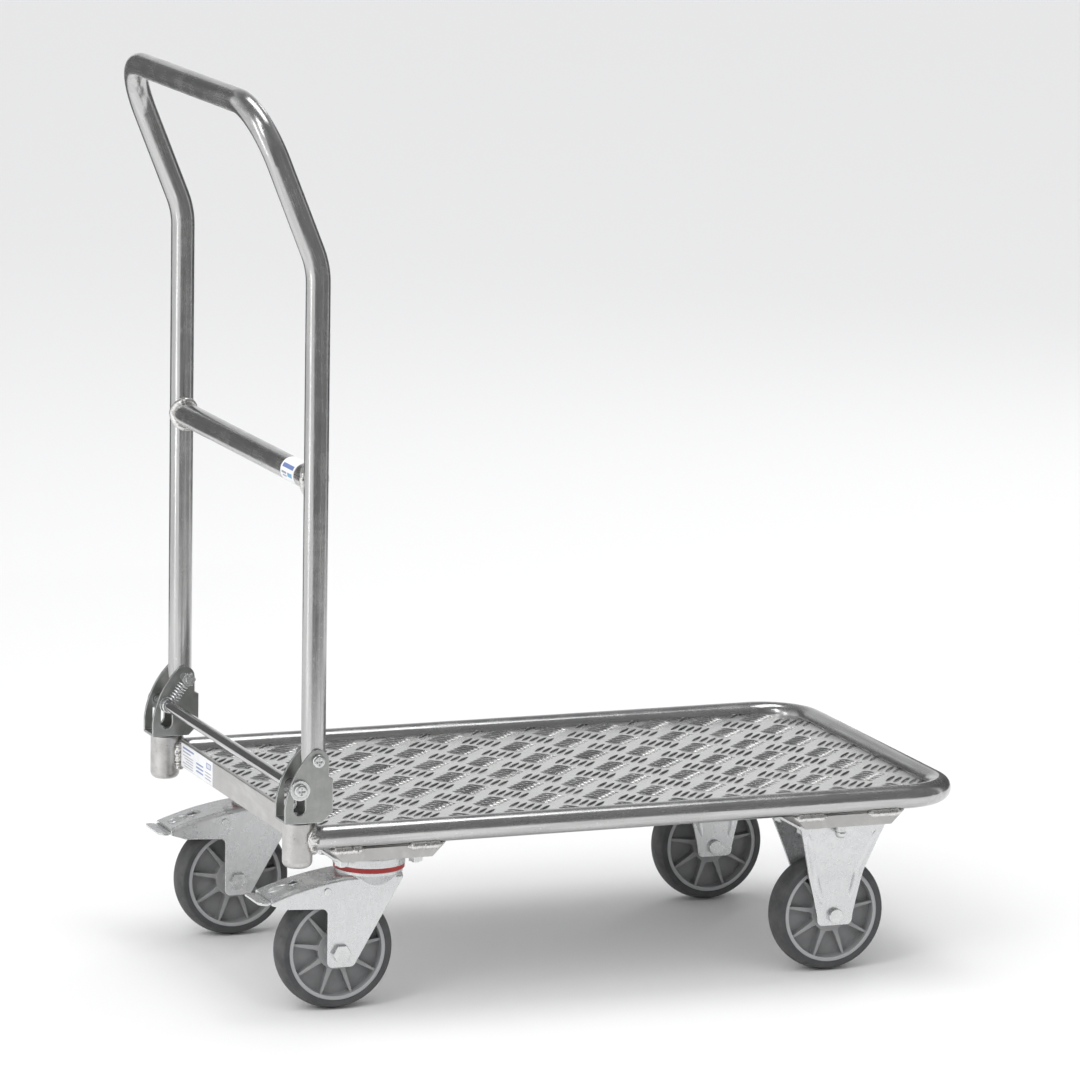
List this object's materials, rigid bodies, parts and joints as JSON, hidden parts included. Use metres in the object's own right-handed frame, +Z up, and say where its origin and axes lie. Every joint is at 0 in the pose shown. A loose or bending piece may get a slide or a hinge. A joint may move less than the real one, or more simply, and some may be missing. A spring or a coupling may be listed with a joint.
{
  "type": "folding platform cart",
  "caption": "Flat-deck hand cart: tube frame with chequer-plate deck, fold-down push handle with sprung foot rod, braked swivel casters behind and fixed casters in front.",
  "frame": {"origin": "on the floor under the middle of the cart's bounding box, handle upright", "axes": "+X forward away from the handle, +Y to the left side, +Z up"},
  "size_m": [0.8052, 0.4792, 0.9498],
  "materials": {
    "tube_aluminium": "drawn and brushed lengthwise",
    "deck_aluminium": "bright rolled tread plate",
    "sheet_aluminium": "mill finish",
    "cast_aluminium": "matt, slightly pitted",
    "zinc_steel": "satin zinc plate",
    "zinc_fastener": "bright zinc plate",
    "bright_steel": "polished rod",
    "spring_steel": "zinc-plated wire",
    "bush_nylon": "matt",
    "seal_red": "semi-gloss",
    "shoe_rubber": "matt",
    "label_film": "printed film",
    "tyre_grey": "matt elastic tread",
    "rim_plastic": "moulded, satin"
  },
  "bodies": {
    "platform": {"frame_tube": "tube_aluminium", "deck_sheet": "deck_aluminium", "end_rail": "sheet_aluminium", "corner_post_left": "cast_aluminium", "corner_post_right": "cast_aluminium", "rear_channel": "sheet_aluminium", "front_channel": "sheet_aluminium", "hinge_bracket_left": "zinc_steel", "hinge_bracket_right": "zinc_steel", "bracket_screws": "zinc_fastener", "bracket_washers": "zinc_fastener", "hinge_bolts": "zinc_fastener", "hinge_nuts": "zinc_fastener", "rail_label": "label_film", "spring_left": "spring_steel", "spring_right": "spring_steel", "swivel_plate_left": "zinc_steel", "swivel_plate_right": "zinc_steel", "swivel_cup_left": "zinc_steel", "swivel_cup_right": "zinc_steel", "swivel_seals": "seal_red", "kingpins": "zinc_fastener", "swivel_balls": "zinc_fastener", "fixed_fork_left": "zinc_steel", "fixed_fork_right": "zinc_steel", "fixed_axles": "zinc_fastener", "front_sleeves": "zinc_fastener", "caster_bolts": "zinc_fastener", "caster_nuts": "zinc_fastener", "end_nuts": "zinc_fastener"},
    "handle": {"handle_tube": "tube_aluminium", "handle_crossbar": "tube_aluminium", "hinge_bushes": "bush_nylon", "bar_label": "label_film"},
    "foot_rod_bar": {"foot_rod": "bright_steel", "rod_washers": "zinc_fastener", "rod_screws": "zinc_fastener"},
    "fork_left": {"swivel_fork_left": "zinc_steel", "pedal_pin_left": "zinc_fastener", "axle_bolt_left": "zinc_fastener", "axle_nut_left": "zinc_fastener", "rear_sleeve_left": "zinc_fastener"},
    "pedal_left": {"brake_pedal_left": "zinc_steel", "brake_shoe_left": "shoe_rubber"},
    "rear_wheel_left": {"rear_tyre_left": "tyre_grey", "rear_rim_left": "rim_plastic"},
    "front_wheel_left": {"front_tyre_left": "tyre_grey", "front_rim_left": "rim_plastic"},
    "fork_right": {"swivel_fork_right": "zinc_steel", "pedal_pin_right": "zinc_fastener", "axle_bolt_right": "zinc_fastener", "axle_nut_right": "zinc_fastener", "rear_sleeve_right": "zinc_fastener"},
    "pedal_right": {"brake_pedal_right": "zinc_steel", "brake_shoe_right": "shoe_rubber"},
    "rear_wheel_right": {"rear_tyre_right": "tyre_grey", "rear_rim_right": "rim_plastic"},
    "front_wheel_right": {"front_tyre_right": "tyre_grey", "front_rim_right": "rim_plastic"}
  },
  "joints": [
    {"name": "handle_fold", "type": "hinge", "parent": "platform", "child": "handle", "pos_m": [-0.32491, 0, 0.275], "axis": [0, 1, 0], "range_deg": [0, 90]},
    {"name": "rod_press", "type": "slide", "parent": "platform", "child": "foot_rod_bar", "axis": [0, 0, -1], "range_m": [0, 0.02], "stiffness_N_per_m": 1500, "springref_m": -0.008, "deforming": ["spring_left", "spring_right"]},
    {"name": "swivel_left", "type": "hinge", "parent": "platform", "child": "fork_left", "pos_m": [-0.24491, 0.165, 0.1456], "axis": [0, 0, 1], "continuous": true},
    {"name": "rear_roll_left", "type": "hinge", "parent": "fork_left", "child": "rear_wheel_left", "pos_m": [-0.28341, 0.165, 0.0625], "axis": [0, 1, 0], "continuous": true},
    {"name": "brake_left", "type": "hinge", "parent": "fork_left", "child": "pedal_left", "pos_m": [-0.29831, 0.165, 0.128], "axis": [0, -1, 0], "range_deg": [0, 6]},
    {"name": "front_roll_left", "type": "hinge", "parent": "platform", "child": "front_wheel_left", "pos_m": [0.26659, 0.165, 0.0625], "axis": [0, 1, 0], "continuous": true},
    {"name": "swivel_right", "type": "hinge", "parent": "platform", "child": "fork_right", "pos_m": [-0.24491, -0.165, 0.1456], "axis": [0, 0, 1], "continuous": true},
    {"name": "rear_roll_right", "type": "hinge", "parent": "fork_right", "child": "rear_wheel_right", "pos_m": [-0.28341, -0.165, 0.0625], "axis": [0, 1, 0], "continuous": true},
    {"name": "brake_right", "type": "hinge", "parent": "fork_right", "child": "pedal_right", "pos_m": [-0.29831, -0.165, 0.128], "axis": [0, -1, 0], "range_deg": [0, 6]},
    {"name": "front_roll_right", "type": "hinge", "parent": "platform", "child": "front_wheel_right", "pos_m": [0.26659, -0.165, 0.0625], "axis": [0, 1, 0], "continuous": true}
  ]
}
